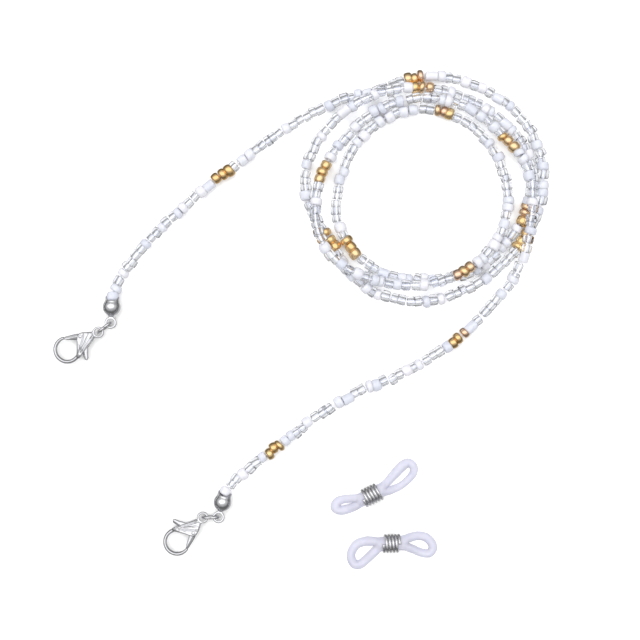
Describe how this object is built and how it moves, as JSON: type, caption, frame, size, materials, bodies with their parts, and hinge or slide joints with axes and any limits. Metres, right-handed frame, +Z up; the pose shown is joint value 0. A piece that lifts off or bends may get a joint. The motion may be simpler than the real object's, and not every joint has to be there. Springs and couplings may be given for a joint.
{
  "type": "eyeglass retainer strap",
  "caption": "Beaded eyeglass strap: a coiled strand of clear, white and gold seed beads, a lobster clasp at each end, and loose silicone figure-eight temple holders with wire coils.",
  "frame": {"origin": "on the table, under the middle of the box around the clasps, bead tips and temple holders", "axes": "+X across the layout from the clasps to the temple holders, +Y towards the bead tip and clasp of end a, +Z up off the table it lies on"},
  "size_m": [0.1183, 0.1211, 0.0053],
  "materials": {
    "thread": "satin",
    "coiled_strand": "gloss",
    "clear_glass": "gloss",
    "white_glass": "gloss",
    "gold_plate": "polished",
    "silver_plate": "polished",
    "spring_steel": "satin",
    "silicone": "satin",
    "coil_wire": "polished"
  },
  "bodies": {
    "strand": {"thread_tail_a": "thread", "thread_tail_b": "thread", "strand_coil": "coiled_strand", "clear_beads_a": "clear_glass", "clear_beads_b": "clear_glass", "white_beads_a": "white_glass", "white_beads_b": "white_glass", "gold_beads_a": "gold_plate", "gold_beads_b": "gold_plate", "bead_tip_a": "silver_plate", "bead_tip_b": "silver_plate", "crimp_bead_a": "silver_plate", "crimp_bead_b": "silver_plate"},
    "ring_a": {"jump_ring_a": "silver_plate"},
    "clasp_a": {"clasp_a_body": "silver_plate", "clasp_a_rivet": "silver_plate", "clasp_a_spring": "spring_steel"},
    "lever_a": {"clasp_a_lever": "silver_plate"},
    "ring_b": {"jump_ring_b": "silver_plate"},
    "clasp_b": {"clasp_b_body": "silver_plate", "clasp_b_rivet": "silver_plate", "clasp_b_spring": "spring_steel"},
    "lever_b": {"clasp_b_lever": "silver_plate"},
    "holder_1": {"silicone_loop_1": "silicone"},
    "coil_1": {"wire_coil_1": "coil_wire"},
    "holder_2": {"silicone_loop_2": "silicone"},
    "coil_2": {"wire_coil_2": "coil_wire"}
  },
  "joints": [
    {"name": "ring_a_swing", "type": "hinge", "parent": "strand", "child": "ring_a", "pos_m": [-0.03197, 0.02637, 0.00155], "axis": [0, 0, 1], "range_deg": [-30, 125]},
    {"name": "clasp_a_swing", "type": "hinge", "parent": "ring_a", "child": "clasp_a", "pos_m": [-0.03493, 0.02407, 0.00155], "axis": [0, 0, 1], "range_deg": [-51, 68]},
    {"name": "lever_a_press", "type": "hinge", "parent": "clasp_a", "child": "lever_a", "pos_m": [-0.03903, 0.0231, 0.00155], "axis": [0, 0, 1], "range_deg": [0, 22], "stiffness_Nm_per_rad": 0.005, "springref_deg": -11.46, "deforming": ["clasp_a_spring"]},
    {"name": "ring_b_swing", "type": "hinge", "parent": "strand", "child": "ring_b", "pos_m": [-0.00631, -0.01986, 0.00155], "axis": [0, 0, 1], "range_deg": [-4, 151]},
    {"name": "clasp_b_swing", "type": "hinge", "parent": "ring_b", "child": "clasp_b", "pos_m": [-0.01006, -0.01994, 0.00155], "axis": [0, 0, 1], "range_deg": [-102, 17]},
    {"name": "lever_b_press", "type": "hinge", "parent": "clasp_b", "child": "lever_b", "pos_m": [-0.01221, -0.02356, 0.00155], "axis": [0, 0, -1], "range_deg": [0, 22], "stiffness_Nm_per_rad": 0.005, "springref_deg": -11.46, "deforming": ["clasp_b_spring"]},
    {"name": "holder_1_lift", "type": "slide", "parent": "strand", "child": "holder_1", "axis": [0, 0, 1], "range_m": [0, 0.03]},
    {"name": "coil_1_slide", "type": "slide", "parent": "holder_1", "child": "coil_1", "axis": [0.9003, 0.4352, 0], "range_m": [0, 0.002], "deforming": ["silicone_loop_1"]},
    {"name": "holder_2_lift", "type": "slide", "parent": "strand", "child": "holder_2", "axis": [0, 0, 1], "range_m": [0, 0.03]},
    {"name": "coil_2_slide", "type": "slide", "parent": "holder_2", "child": "coil_2", "axis": [0.9994, 0.0349, 0], "range_m": [0, 0.002], "deforming": ["silicone_loop_2"]}
  ]
}
